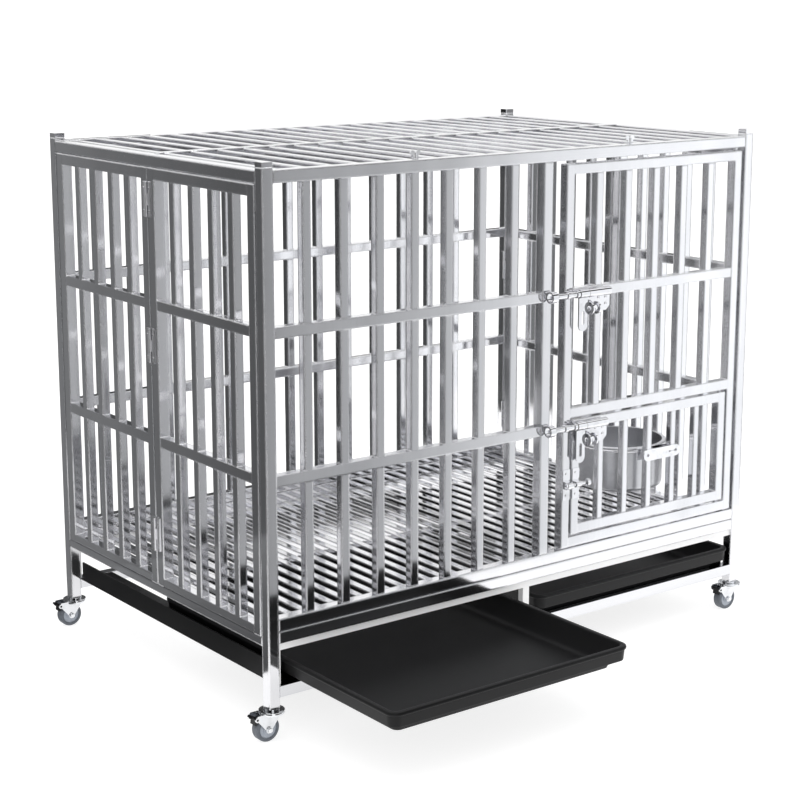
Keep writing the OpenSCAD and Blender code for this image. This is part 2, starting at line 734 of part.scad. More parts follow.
// Small plate with two screw heads and a barrel for the feed latch
module feed_plate(x, barrel0, barrel1, bore_r) difference() {
    union() {
        translate([x - feed_plate_w / 2, door_face - plate_t, feed_latch_h - feed_plate_l / 2])
            cube([feed_plate_w, plate_t, feed_plate_l]);
        for (s = [-1, 1])
            rod_y(door_face - plate_t - screw_t, door_face - plate_t / 2, x,
                feed_latch_h + s * (feed_plate_l / 2 - feed_plate_w / 2), screw_r);
        rod_x(barrel0, barrel1, feed_bolt_y, feed_latch_h, bore_r + plate_t);
        translate([barrel0, feed_bolt_y, feed_latch_h - bore_r - plate_t])
            cube([barrel1 - barrel0, door_face - plate_t / 2 - feed_bolt_y, 2 * (bore_r + plate_t)]);
    }
    rod_x(barrel0 - over, barrel1 + over, feed_bolt_y, feed_latch_h, bore_r);
}

module feed_latch_plate() color(dark_steel) from_corner()
    feed_plate(feed_mid_x, feed_x + plate_t, feed_x + plate_t + feed_barrel_l, feed_bolt_r + run_fit);

module feed_latch_keeper() color(dark_steel) from_corner()
    feed_plate(keeper_mid_x, keeper_mid_x - feed_barrel_l / 2, keeper_mid_x + feed_barrel_l / 2,
        feed_bolt_r + feed_keeper_clear);

module feed_latch_bolt() color(dark_steel) from_corner() {
    knob_x = feed_x + plate_t + feed_barrel_l + feed_travel + over;
    rod_x(door_x + frame_w + over, knob_x + over, feed_bolt_y, feed_latch_h, feed_bolt_r);
    rod_x(knob_x, knob_x + feed_knob_l, feed_bolt_y, feed_latch_h, feed_knob_r);
}

// Half outline of a cup with a rounded foot
module cup_outline(r, z0, f) {
    translate([0, z0 + f]) square([r, bowl_h - z0 - f]);
    translate([0, z0]) square([r - f, f]);
    translate([r - f, z0 + f]) intersection() {
        circle(f);
        translate([0, -f]) square(f);
    }
}

// Round bowl with a flat base and a rolled rim
module bowl() color(steel) from_corner() translate([bowl_x, bowl_y, bowl_rim_h - bowl_h]) rotate_extrude() {
    difference() {
        cup_outline(bowl_r, 0, bowl_fillet);
        cup_outline(bowl_r - bowl_wall, bowl_wall, bowl_fillet - bowl_wall);
    }
    translate([bowl_r - bowl_wall, bowl_h - bowl_rim_t])
        square([bowl_rim_w - bowl_rim_t / 2 + bowl_wall, bowl_rim_t]);
    translate([bowl_r + bowl_rim_w - bowl_rim_t / 2, bowl_h - bowl_rim_t / 2]) circle(bowl_rim_t / 2);
}

// Wire ring that carries the bowl, welded to a bar behind the feeding door
module bowl_ring() color(steel) from_corner() {
    translate([bowl_x, bowl_y, ring_h]) rotate_extrude() translate([ring_r, 0]) circle(ring_wire_r);
    difference() {
        union() {
            translate([bowl_x - clamp_w / 2, bar_back, ring_h - clamp_h / 2]) cube([clamp_w, clamp_t, clamp_h]);
            for (s = [-1, 1])
                rod_y(bar_back + clamp_t / 2, bowl_y - ring_r * sqrt(1 - ring_stem_share * ring_stem_share),
                    bowl_x + s * ring_r * ring_stem_share, ring_h, ring_wire_r);
        }
        rod_y(bar_back - over, bar_back + clamp_t + over, bowl_x, ring_h, clamp_screw_r + run_fit);
    }
}

// Plate across the front of two bars, with a keyhole slot, its stud and the round nut behind the bars
module bowl_clamp() color(dark_steel) from_corner() {
    translate([bowl_x, bar_front, ring_h]) rotate([90, 0, 0]) linear_extrude(clamp_t) difference() {
        union() {
            square([clamp_w - clamp_h, clamp_h], center = true);
            for (s = [-1, 1]) translate([s * (clamp_w - clamp_h) / 2, 0]) circle(clamp_h / 2);
        }
        translate([(clamp_w - clamp_h) / 2, 0]) circle(key_r);
        translate([(clamp_w - clamp_h) / 2 - key_l, -key_w / 2]) square([key_l, key_w]);
        translate([-(clamp_w - clamp_h) / 2, 0]) circle(key_r);
    }
    rod_y(bar_front - clamp_t / 2, bar_back + clamp_t + clear + over, bowl_x, ring_h, clamp_screw_r);
    rod_y(bar_back + clamp_t + clear, bar_back + clamp_t + clear + clamp_knob_t, bowl_x, ring_h, clamp_knob_r);
}

// Stem, flange and swivel pin fixed to a post
module caster_stems() color(dark_steel) from_corner()
    for (x = post_xs, y = post_ys) translate([x, y, 0]) {
        translate([0, 0, -over]) post_plug(stem_l + over);
        translate([0, 0, -flange_t]) cylinder(r = flange_r, h = flange_t);
        translate([0, 0, head_z - caster_h - clear]) cylinder(r = king_r, h = head_t + flange_t + 2 * clear);
        translate([0, 0, head_z - caster_h - clear - rivet_t]) cylinder(r = rivet_r, h = rivet_t);
    }

// Places a caster piece on the ground under a post, its swivel axis at the origin
module under_post(x, y) translate([x - crate_l / 2, y - crate_d / 2, 0]) children();

// Swivel head, two cheeks and the axle of a caster; the wheel trails towards -X
module fork(x, y) color(dark_steel) under_post(x, y) {
    difference() {
        translate([0, 0, head_z - skirt_h]) cylinder(r = head_r, h = head_t + skirt_h);
        translate([0, 0, head_z - skirt_h - over]) cylinder(r = head_r - skirt_t, h = skirt_h + over);
        translate([0, 0, head_z - over]) cylinder(r = king_r + run_fit, h = head_t + 2 * over);
    }
    for (y0 = [-cheek_gap - cheek_t, cheek_gap])
        translate([0, y0 + cheek_t, 0]) rotate([90, 0, 0]) linear_extrude(cheek_t) difference() {
            union() {
                polygon([[head_r / 2, head_z + head_t / 2], [head_r / 2, head_z - head_t],
                    [-trail + boss_r, wheel_r], [-trail - boss_r, wheel_r],
                    [-brake_pivot_x - brake_pin_r, brake_pivot_z],
                    [-brake_pivot_x, head_z + head_t / 2]]);
                translate([-trail, wheel_r]) circle(boss_r);
                translate([-brake_pivot_x, brake_pivot_z]) circle(2 * brake_pin_r);
            }
            translate([-brake_pivot_x, brake_pivot_z]) circle(brake_pin_r + run_fit);
        }
    rod_y(-cheek_gap - cheek_t - over, cheek_gap + cheek_t + over, -trail, wheel_r, axle_r);
}

// Wheel with a rounded tread and dished sides
module wheel(x, y) color(rubber_grey) under_post(x, y) translate([-trail, 0, wheel_r]) rotate([90, 0, 0])
    rotate_extrude() difference() {
        union() {
            translate([axle_r + run_fit, -wheel_w / 2])
                square([wheel_r - tread_round - axle_r - run_fit, wheel_w]);
            translate([wheel_r - tread_round, -wheel_w / 2 + tread_round])
                square([tread_round, wheel_w - 2 * tread_round]);
            for (s = [-1, 1]) translate([wheel_r - tread_round, s * (wheel_w / 2 - tread_round)])
                circle(tread_round);
        }
        for (s = [-1, 1]) translate([hub_r, s * wheel_w / 2 - groove_d])
            square([wheel_r - 2 * tread_round - hub_r, 2 * groove_d]);
    }

// Brake pedal with its pin and shoe, tipped up so that the shoe stands clear of the wheel
module brake(x, y) color(dark_steel) under_post(x, y) translate([-brake_pivot_x, 0, brake_pivot_z]) {
    rod_y(-cheek_gap - cheek_t, cheek_gap + cheek_t, 0, 0, brake_pin_r);
    rotate([0, brake_tilt, 0]) translate([-brake_l, -brake_w / 2, 0])
        linear_extrude(brake_t) {
            translate([brake_w / 2, 0]) square([brake_l - brake_w / 2, brake_w]);
            translate([brake_w / 2, brake_w / 2]) circle(brake_w / 2);
        }
    rotate([0, shoe_tilt, 0]) translate([-brake_t / 2, -brake_w / 2, -shoe_l]) cube([brake_t, brake_w, shoe_l]);
}

post(side_left, wall_front);  // front_left_post
post(side_right, wall_front);  // front_right_post
post(side_left, wall_back);  // back_left_post
post(side_right, wall_back);  // back_right_post
post_caps();
front_top_rail();
front_bottom_rail();
door_jamb();
front_bars();
back_frame();
back_bars();
top_frame();
top_bars();
top_screws();
floor_frame();
floor_bars();
tray_frame();
tray_runners();
post_hinges();
bolt_keepers();
caster_stems();
big_door_frame();
big_door_bars();
small_door_frame();
small_door_bars();
bolt_housing(upper_bolt_h);  // upper_bolt_housing
slide_bolt(upper_bolt_h);  // upper_bolt
hasp(upper_bolt_h);  // upper_hasp
bolt_housing(lower_bolt_h);  // lower_bolt_housing
slide_bolt(lower_bolt_h);  // lower_bolt
hasp(lower_bolt_h);  // lower_hasp
feed_latch_plate();
feed_latch_bolt();
feed_latch_keeper();
bowl();
bowl_ring();
bowl_clamp();
leaf(side_left, rear_leaf_y);  // left_rear_leaf
leaf(side_left, front_leaf_y);  // left_front_leaf
leaf(side_right, rear_leaf_y);  // right_rear_leaf
leaf(side_right, front_leaf_y);  // right_front_leaf
rear_hinges(0);  // left_rear_hinges
front_hinges(0);  // left_front_hinges
rear_hinges(1);  // right_rear_hinges
front_hinges(1);  // right_front_hinges
left_tray();
right_tray();
fork(side_left, wall_front);  // front_left_fork
fork(side_right, wall_front);  // front_right_fork
fork(side_left, wall_back);  // back_left_fork
fork(side_right, wall_back);  // back_right_fork
wheel(side_left, wall_front);  // front_left_wheel
wheel(side_right, wall_front);  // front_right_wheel
wheel(side_left, wall_back);  // back_left_wheel
wheel(side_right, wall_back);  // back_right_wheel
brake(side_left, wall_front);  // front_left_brake
brake(side_right, wall_front);  // front_right_brake
brake(side_left, wall_back);  // back_left_brake
brake(side_right, wall_back);  // back_right_brake
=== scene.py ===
# %% [markdown]
# A heavy duty pet crate, dressed for a studio picture. The crate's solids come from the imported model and
# stay where they are. This file gives each of them a finish, adds the small shapes that a maker's solids
# leave plain, and sets up the floor, the lights and the camera. Everything is in metres. The front of the
# crate faces -Y, its left side -X, and the floor is at zero.

# %% Load the crate
import math

import bmesh
import bpy
from mathutils import Matrix, Vector


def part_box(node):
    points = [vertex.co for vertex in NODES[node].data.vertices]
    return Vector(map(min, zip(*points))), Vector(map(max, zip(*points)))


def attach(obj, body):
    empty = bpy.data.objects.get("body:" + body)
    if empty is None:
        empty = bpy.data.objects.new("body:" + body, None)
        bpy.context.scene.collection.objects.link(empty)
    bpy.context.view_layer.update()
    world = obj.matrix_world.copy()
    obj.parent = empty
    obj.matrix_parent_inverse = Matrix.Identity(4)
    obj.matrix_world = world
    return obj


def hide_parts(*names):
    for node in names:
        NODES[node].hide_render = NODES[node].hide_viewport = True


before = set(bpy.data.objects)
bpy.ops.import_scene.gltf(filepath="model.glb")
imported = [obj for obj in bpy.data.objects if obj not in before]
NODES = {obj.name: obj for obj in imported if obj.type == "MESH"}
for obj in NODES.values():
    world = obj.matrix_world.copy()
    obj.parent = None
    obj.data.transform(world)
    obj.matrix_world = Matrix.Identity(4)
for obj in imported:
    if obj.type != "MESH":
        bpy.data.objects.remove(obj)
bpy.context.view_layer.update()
CORNERS = ("front_left", "front_right", "back_left", "back_right")

# %% [markdown]
# A finish is a node material. Wiring nodes one by one hides the idea behind a finish, so two small classes
# let the idea be written as sums. A Wire is one output socket, and each of + - * > on it adds a Math node.
# A Finish owns a material. Its node method adds a node of any kind, and the kinds used most have a method
# of their own.

# %% Write shader maths as sums
class Wire:
    """One value that flows between nodes."""

    def __init__(self, finish, socket):
        self.finish, self.socket = finish, socket

    def maths(self, operation, a, b):
        return self.finish.node("ShaderNodeMath", {"operation": operation}, {0: a, 1: b})

    def __add__(self, other): return self.maths("ADD", self, other)
    def __radd__(self, other): return self.maths("ADD", other, self)
    def __sub__(self, other): return self.maths("SUBTRACT", self, other)
    def __rsub__(self, other): return self.maths("SUBTRACT", other, self)
    def __mul__(self, other): return self.maths("MULTIPLY", self, other)
    def __rmul__(self, other): return self.maths("MULTIPLY", other, self)
    def __gt__(self, other): return self.maths("GREATER_THAN", self, other)


class Finish:
    """A material whose surface is described by sums of wires."""

    def __init__(self, name, **constants):
        self.material = bpy.data.materials.new(name)
        self.material.use_nodes = True
        self.tree = self.material.node_tree
        self.surface = self.tree.nodes["Principled BSDF"]
        for socket, value in constants.items():
            self.surface.inputs[socket.replace("_", " ").title().replace("Ior", "IOR")].default_value = value

    def node(self, kind, settings=None, sockets=None, out=0):
        made = self.tree.nodes.new(kind)
        for key, value in (settings or {}).items():
            if key == "stops":
                ramp = made.color_ramp.elements
                while len(ramp) < len(value):
                    ramp.new(0.5)
                for stop, (place, colour) in zip(ramp, value):
                    stop.position, stop.color = place, (*colour, 1)
            else:
                setattr(made, key, value)
        for key, value in (sockets or {}).items():
            if isinstance(value, Wire):
                self.tree.links.new(value.socket, made.inputs[key])
            else:
                made.inputs[key].default_value = value
        return Wire(self, made.outputs[out])

    def place(self, scale=(1, 1, 1), move=(0, 0, 0)):
        coords = self.node("ShaderNodeTexCoord", out="Object")
        return self.node("ShaderNodeMapping", {}, {"Vector": coords, "Scale": scale, "Location": move})

    def noise(self, where, scale=1.0, detail=3.0, roughness=0.55):
        return self.node("ShaderNodeTexNoise", {}, {"Vector": where, "Scale": scale, "Detail": detail,
                                                    "Roughness": roughness})

    def mix(self, share, a, b):
        return self.node("ShaderNodeMix", {"data_type": "RGBA"}, {0: share, 6: a, 7: b}, out=2)

    def clamp(self, value, low, high):
        return self.node("ShaderNodeClamp", {}, {"Value": value, "Min": low, "Max": high})

    def feed(self, **wires):
        for socket, wire in wires.items():
            self.tree.links.new(wire.socket, self.surface.inputs[socket.replace("_", " ").title()])

    def bump(self, height, strength, distance, edge=None):
        """Raises the surface by a height, and rounds its edges in the shading where a radius is given."""
        sockets = {"Height": height, "Strength": strength, "Distance": distance}
        if edge:
            sockets["Normal"] = self.node("ShaderNodeBevel", {"samples": 4}, {"Radius": edge})
        self.feed(normal=self.node("ShaderNodeBump", {}, sockets))


print("shader maths ready")

# %% [markdown]
# The crate is polished stainless tube. Polished tube is never a perfect mirror: the belt leaves hair-fine
# lines along the tube, and handling leaves soft cloudy patches. Noise that is stretched along the tube
# gives the lines, and a broad noise gives the patches. Both change the roughness more than the colour,
# because that is what makes the reflections of a bar look drawn out. The solids have sharp edges where real
# tube is rounded, so a Bevel node rounds them in the shading, and each edge catches a thin line of light.

# %% Polished tube
STEEL_BRIGHT, STEEL_CLOUDED = (0.83, 0.83, 0.85, 1), (0.72, 0.73, 0.75, 1)
LINES_ACROSS, LINES_ALONG = 420.0, 2.5  # noise scale across the tube and along it
TUBE_EDGE = 0.0042


def polished_tube(name, along):
    """Steel with polishing lines along one axis."""
    steel = Finish(name, metallic=1.0)
    stretch = [LINES_ALONG if axis == along else LINES_ACROSS for axis in "XYZ"]
    lines = steel.noise(steel.place(scale=stretch), detail=2.0)
    cloud = steel.noise(steel.place(), scale=7.0, detail=4.0)
    fleck = steel.noise(steel.place(), scale=60.0, detail=2.0)
    shade = steel.clamp((cloud - 0.45) * 1.6 + (lines - 0.5) * 0.5, 0.0, 1.0)
    steel.feed(base_color=steel.mix(shade, STEEL_BRIGHT, STEEL_CLOUDED),
               roughness=0.03 + 0.05 * cloud + 0.04 * lines + 0.02 * fleck)
    steel.bump(lines, 0.05, 0.0003, edge=TUBE_EDGE)
    return steel.material


TUBE = {axis: polished_tube("polished_tube_" + axis.lower(), axis) for axis in "XYZ"}
print("polished tube:", ", ".join(m.name for m in TUBE.values()))

# %% [markdown]
# Latches, hinges, screws and casters are small plated pieces. Plating is brighter than the tube, and it
# dulls first where hands touch it. The fold hinges are satin plated, so theirs is rougher. The bowl was
# spun on a lathe, so its lines run round it: the distance from the bowl's axis drives a fine wave.

# %% Plated fittings and the spun bowl
WORN_SHARE = 0.72  # how much of its brightness worn plating keeps
SPIN_LINES = 5200.0  # radians of the wave per metre


def plated(name, tint, base_roughness):
    """Bright plating with a little handling."""
    metal = Finish(name, metallic=1.0)
    touch = metal.noise(metal.place(), scale=38.0, detail=4.0)
    grain = metal.noise(metal.place(), scale=600.0, detail=1.0)
    dull = metal.clamp((touch - 0.5) * 2.4, 0.0, 1.0)
    worn = tuple(WORN_SHARE * c for c in tint)
    metal.feed(base_color=metal.mix(dull, (*tint, 1), (*worn, 1)),
               roughness=base_roughness + 0.10 * dull + 0.04 * grain)
    metal.bump(touch, 0.05, 0.0006)
    return metal.material


def spun_bowl():
    """Satin steel with fine rings about the bowl's axis."""
    metal = Finish("spun_bowl", metallic=1.0)
    low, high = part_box("bowl")
    centre = (low + high) / 2
    at = metal.node("ShaderNodeVectorMath", {"operation": "MULTIPLY"},
                    {0: metal.place(move=(-centre.x, -centre.y, -low.z)), 1: (1, 1, 0)})
    radius = metal.node("ShaderNodeVectorMath", {"operation": "LENGTH"}, {0: at}, out="Value")
    height = metal.node("ShaderNodeSeparateXYZ", {}, {0: metal.place()}, out="Z")
    rings = metal.node("ShaderNodeMath", {"operation": "SINE"}, {0: (radius + height) * SPIN_LINES})
    cloud = metal.noise(metal.place(), scale=16.0, detail=4.0)
    metal.feed(base_color=metal.mix(cloud, (0.66, 0.67, 0.69, 1), (0.80, 0.80, 0.82, 1)),
               roughness=0.22 + 0.12 * cloud + 0.03 * rings)
    metal.bump(rings, 0.03, 0.0003)
    return metal.material


PLATED = plated("plated_fittings", (0.88, 0.88, 0.90), 0.03)
HINGE = plated("hinge_plating", (0.90, 0.90, 0.92), 0.30)
CASTER_METAL = plated("caster_plating", (0.84, 0.85, 0.87), 0.03)
BOWL = spun_bowl()
print("plated fittings, hinge and caster plating and spun bowl ready")

# %% [markdown]
# The trays are black moulded plastic with a satin skin: dark, a little blue, with a broad soft sheen. A
# fine leathery grain comes from the mould, and use leaves faint scuffs. The caster tyres are dark rubber on
# a grey wheel, so that finish changes colour with the distance from the axle. The strip over the trays is
# flat white whatever it mirrors, a painted reflection, and the rails below it are bare steel. Both are one
# solid, so its finish changes with the height.

# %% Plastic, rubber and paint
HUB_RADIUS, HUB_EDGE = 0.0152, 2500.0  # where the tyre starts, and how sharply
PAINTED_REFLECTION_FROM = 0.0893  # height of the lower edge of the painted reflection


def satin_plastic(name, colour, base_roughness):
    """Moulded plastic with a fine grain and paler scuffs."""
    plastic = Finish(name, metallic=0.0, specular_ior_level=0.22)
    grain = plastic.noise(plastic.place(), scale=900.0, detail=2.0)
    scuff = plastic.noise(plastic.place(scale=(40, 6, 20)), detail=5.0, roughness=0.7)
    worn = plastic.clamp((scuff - 0.58) * 3.0, 0.0, 1.0)
    pale = tuple(c * 1.9 + 0.004 for c in colour)
    plastic.feed(base_color=plastic.mix(worn, (*colour, 1), (*pale, 1)),
                 roughness=base_roughness + 0.10 * worn + 0.06 * grain)
    plastic.bump(grain, 0.12, 0.0003)
    return plastic.material


def wheel_rubber(corner):
    """Dark tyre round a grey hub, centred on one caster's axle."""
    rubber = Finish(corner + "_tyre", metallic=0.0)
    low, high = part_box(corner + "_wheel")
    centre = (low + high) / 2
    at = rubber.node("ShaderNodeVectorMath", {"operation": "MULTIPLY"},
                     {0: rubber.place(move=(-centre.x, 0, -centre.z)), 1: (1, 0, 1)})
    radius = rubber.node("ShaderNodeVectorMath", {"operation": "LENGTH"}, {0: at}, out="Value")
    tyre = rubber.clamp((radius - HUB_RADIUS) * HUB_EDGE, 0.0, 1.0)
    dust = rubber.noise(rubber.place(), scale=150.0, detail=5.0)
    hub = rubber.mix(dust, (0.30, 0.33, 0.38, 1), (0.42, 0.45, 0.50, 1))
    band = rubber.mix(dust, (0.060, 0.068, 0.082, 1), (0.15, 0.165, 0.19, 1))
    rubber.feed(base_color=rubber.mix(tyre, hub, band), roughness=0.34 + 0.22 * dust + 0.08 * tyre)
    rubber.bump(dust, 0.15, 0.0004)
    return rubber.material


def painted_reflection_over_steel():
    """Flat white painted in as a reflection on the strip over the trays and its legs, bare steel on the
    rails below.
    """
    paint = Finish("tray_bay_painted_reflection", metallic=0.0, roughness=0.4)
    height = paint.node("ShaderNodeSeparateXYZ", {}, {0: paint.place()}, out="Z")
    # Above this height the strip is flat white whatever it mirrors: a painted reflection.
    painted = height > PAINTED_REFLECTION_FROM
    cloud = paint.noise(paint.place(scale=(3, 40, 40)), detail=3.0)
    white = paint.mix(cloud, (0.90, 0.90, 0.90, 1), (0.96, 0.96, 0.96, 1))
    steel = paint.mix(cloud, STEEL_BRIGHT, STEEL_CLOUDED)
    paint.feed(base_color=paint.mix(painted, steel, white), metallic=1.0 - painted,
               roughness=0.05 + 0.05 * cloud + 0.35 * painted)
    return paint.material


TRAY = satin_plastic("tray_plastic", (0.004, 0.004, 0.0045), 0.42)
PEDAL = satin_plastic("pedal_plastic", (0.008, 0.008, 0.009), 0.25)
TYRES = {corner: wheel_rubber(corner) for corner in CORNERS}
TRAY_BAY = painted_reflection_over_steel()
print("tray and pedal plastic, tray bay paint and", len(TYRES), "tyres ready")

# %% [markdown]
# Each solid now gets its finish. A solid of tubes gets one tube finish, so its polishing lines run one way:
# along the crate on the long rails, across it on the top and the floor's bars, and upwards on the posts,
# the wall bars, the doors and the side leaves.

# %% Give every solid its finish
def dress(material, *names):
    for name in names:
        mesh = NODES[name].data
        mesh.materials.clear()
        mesh.materials.append(material)


dress(TUBE["X"], "front_top_rail", "front_bottom_rail", "back_frame", "floor_frame")
dress(TRAY_BAY, "tray_frame")
dress(TUBE["Y"], "top_frame", "top_bars", "floor_bars")
dress(TUBE["Z"], "door_jamb", "front_bars", "back_bars", "big_door_frame", "big_door_bars",
      "small_door_frame", "small_door_bars", *(c + "_post" for c in CORNERS),
      *(s + "_" + e + "_leaf" for s in ("left", "right") for e in ("front", "rear")))
dress(PLATED, "post_caps", "top_screws", "post_hinges", "bolt_keepers", "bowl_clamp", "bowl_ring",
      "feed_latch_plate", "feed_latch_bolt", "feed_latch_keeper",
      *(w + part for w in ("upper", "lower") for part in ("_bolt_housing", "_bolt", "_hasp")))
dress(HINGE, *(s + "_" + e + "_hinges" for s in ("left", "right") for e in ("front", "rear")))
dress(CASTER_METAL, "caster_stems", *(c + "_fork" for c in CORNERS))
dress(BOWL, "bowl")
dress(TRAY, "left_tray", "right_tray", "tray_runners")
dress(PEDAL, *(c + "_brake" for c in CORNERS))
for corner in CORNERS:
    dress(TYRES[corner], corner + "_wheel")
print("finishes given to", len(NODES), "solids")

# %% [markdown]
# New pieces are made with bmesh operators. Every piece goes through one helper: it recalculates the
# normals, shades the mesh smooth but keeps edges sharper than a given angle, gives it a finish, and says
# which body it rides on. Heads and skirts are spun from a profile, as on a lathe, and merged where the
# profile meets the axis.

# %% Helpers for new pieces
MM = 0.001
MERGE = 0.000001


def piece(name, shape, material, body, sharp=35.0):
    """Makes an object of a bmesh, and frees the bmesh."""
    bmesh.ops.recalc_face_normals(shape, faces=shape.faces)
    mesh = bpy.data.meshes.new(name)
    shape.to_mesh(mesh)
    shape.free()
    mesh.shade_smooth()
    mesh.set_sharp_from_angle(angle=math.radians(sharp))
    mesh.materials.append(material)
    made = bpy.data.objects.new(name, mesh)
    bpy.context.scene.collection.objects.link(made)
    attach(made, body)
    return made


def spun(shape, profile, matrix, steps):
    """Turns an open profile of (radius, height) points about the local Z axis of a matrix."""
    before = set(shape.verts)
    points = [shape.verts.new((r, 0, z)) for r, z in profile]
    edges = [shape.edges.new(pair) for pair in zip(points, points[1:])]
    bmesh.ops.spin(shape, geom=points + edges, cent=(0, 0, 0), axis=(0, 0, 1), angle=2 * math.pi,
                   steps=steps, use_merge=True)
    bmesh.ops.remove_doubles(shape, verts=[v for v in shape.verts if v not in before], dist=MERGE)
    bmesh.ops.transform(shape, matrix=matrix, verts=[v for v in shape.verts if v not in before])


print("piece helpers ready")

# %% [markdown]
# The trays are moulded, so no edge of theirs is sharp. A tray is drawn as a stack of rounded rectangles,
# from the outer bottom up the leaning wall, over the deep turned-down rim and down the inside. One ring of
# edges is extruded from each outline to the next, which grows the skin, and two fills close its bottom and
# its floor. The outline follows the solid that the tray replaces.

# %% Moulded trays
TRAY_LOOPS = (  # inset from the rim's outline, corner radius, height, all in millimetres
    (27.0, 8.0, 0.0), (24.2, 10.8, 0.6), (23.0, 12.0, 3.6), (8.4, 12.0, 34.6), (8.1, 12.3, 36.4),
    (7.4, 12.6, 37.0), (5.8, 14.2, 37.0), (5.0, 15.0, 36.2), (6.4, 13.6, 16.4), (6.2, 13.8, 15.4),
    (5.4, 14.6, 15.0), (4.6, 15.4, 15.3), (4.2, 15.8, 16.2), (2.6, 17.4, 32.6), (2.2, 17.8, 33.6),
    (1.2, 18.8, 34.0), (0.3, 19.7, 34.8), (0.0, 20.0, 36.0), (0.0, 20.0, 37.6), (0.5, 19.5, 38.9),
    (1.6, 18.4, 39.7), (3.2, 16.8, 40.0), (7.4, 12.6, 40.0), (8.9, 11.4, 39.6), (9.9, 10.6, 38.4),
    (10.5, 10.2, 36.4), (23.4, 10.2, 9.4), (25.4, 11.0, 6.2), (28.6, 12.0, 3.8), (33.0, 13.0, 2.7),
    (40.0, 14.0, 2.5))
CORNER_STEPS = 8
TRAY_SHARP = 50  # degrees


def rounded_outline(low, high, inset, radius, height):
    """The points of one rounded rectangle, inset from a box, in metres."""
    back = inset + radius
    points = []
    for cx, cy, start in ((high.x - back, high.y - back, 0), (low.x + back, high.y - back, 90),
                          (low.x + back, low.y + back, 180), (high.x - back, low.y + back, 270)):
        for k in range(CORNER_STEPS + 1):
            angle = math.radians(start + 90 * k / CORNER_STEPS)
            points.append(Vector((cx + radius * math.cos(angle), cy + radius * math.sin(angle),
                                  low.z + height)))
    return points


def moulded_tray(node):
    """Grows one tray's skin through its outlines, and says how many faces it has."""
    low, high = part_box(node)
    shape = bmesh.new()
    outlines = [rounded_outline(low, high, *(MM * v for v in row)) for row in TRAY_LOOPS]
    ring = [shape.verts.new(point) for point in outlines[0]]
    edges = [shape.edges.new(pair) for pair in zip(ring, ring[1:] + ring[:1])]
    bmesh.ops.edgeloop_fill(shape, edges=edges)
    for outline in outlines[1:]:
        grown = bmesh.ops.extrude_edge_only(shape, edges=edges)["geom"]
        twins = {tuple(v.co): v for v in grown if isinstance(v, bmesh.types.BMVert)}
        ring = [twins[tuple(v.co)] for v in ring]
        edges = [shape.edges.get(pair) for pair in zip(ring, ring[1:] + ring[:1])]
        for vert, point in zip(ring, outline):
            vert.co = point
    bmesh.ops.edgeloop_fill(shape, edges=edges)
    made = piece(node + "_shell", shape, TRAY, node, sharp=TRAY_SHARP)
    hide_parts(node)
    return len(made.data.polygons)


print("tray faces:", [moulded_tray(node) for node in ("left_tray", "right_tray")])

# %% [markdown]
# Small round fasteners hold the fittings: domed rivets on the bolt plates and flat screw heads on the fold
# hinges. Each is a spun profile of a few points, and all the heads on one body share one mesh.

# %% Rivets and hinge screws
RIVET = ((0.0, 1.5), (1.2, 1.4), (2.2, 1.0), (2.9, 0.35), (3.0, 0.0))  # radius and height in millimetres
SCREW = ((0.0, 0.35), (0.5, 0.35), (0.6, 0.75), (1.3, 0.7), (1.7, 0.4), (1.8, 0.0))
HEAD_STEPS = 20
PLATE_THICK = 0.002  # of the bolt plates and of the hinge leaves
RIVET_FROM_END, RIVET_STEP = 0.010, 0.017  # from the housing's right end, and between the upper two
RIVET_FROM_TOP, RIVET_FROM_FOOT = 0.020, 0.014
HALF_FOLD, SCREW_FROM_FOLD, SCREW_FROM_MIDDLE = 0.001, 0.0087, 0.019
HINGE_SHARES = (0.126, 0.583, 0.926)  # heights of the hinges as shares of the leaf's height


def heads(name, profile, places, axis, body):
    """Heads of one profile at several places, all facing along one axis."""
    shape = bmesh.new()
    turn = Vector(axis).to_track_quat("Z", "Y").to_matrix().to_4x4()
    for place in places:
        spun(shape, [(MM * r, MM * z) for r, z in profile], Matrix.Translation(place) @ turn, HEAD_STEPS)
    piece(name, shape, PLATED, body)


for which, body in (("upper", "big_door"), ("lower", "small_door")):
    low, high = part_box(which + "_bolt_housing")
    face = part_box(body + "_frame")[0].y - PLATE_THICK
    right, upper, lower = high.x - RIVET_FROM_END, high.z - RIVET_FROM_TOP, low.z + RIVET_FROM_FOOT
    places = [(right, face, upper), (right, face, lower), (right - RIVET_STEP, face, upper)]
    heads(which + "_rivets", RIVET, places, (0, -1, 0), body)
for side, facing in (("left", -1), ("right", 1)):
    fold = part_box(side + "_rear_leaf")[0].y - HALF_FOLD
    for end, reach in (("rear", SCREW_FROM_FOLD), ("front", -SCREW_FROM_FOLD)):
        leaf = side + "_" + end + "_leaf"
        low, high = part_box(leaf)
        face = low.x if facing < 0 else high.x
        span = high.z - low.z
        places = [(face + facing * PLATE_THICK, fold + reach, low.z + share * span + step)
                  for share in HINGE_SHARES for step in (-SCREW_FROM_MIDDLE, SCREW_FROM_MIDDLE)]
        heads(leaf + "_screws", SCREW, places, (facing, 0, 0), leaf)
print("rivets and hinge screws made")

# %% [markdown]
# A caster is a small machine. Its swivel head has a pressed skirt that keeps dust out of the balls, its
# axle ends in a hexagon nut on a washer, and the pedal has ribs for the shoe. The skirt is spun, the nut is
# a six-sided cylinder with bevelled edges, and the ribs are bevelled bars that grow shorter towards the
# pedal's end.

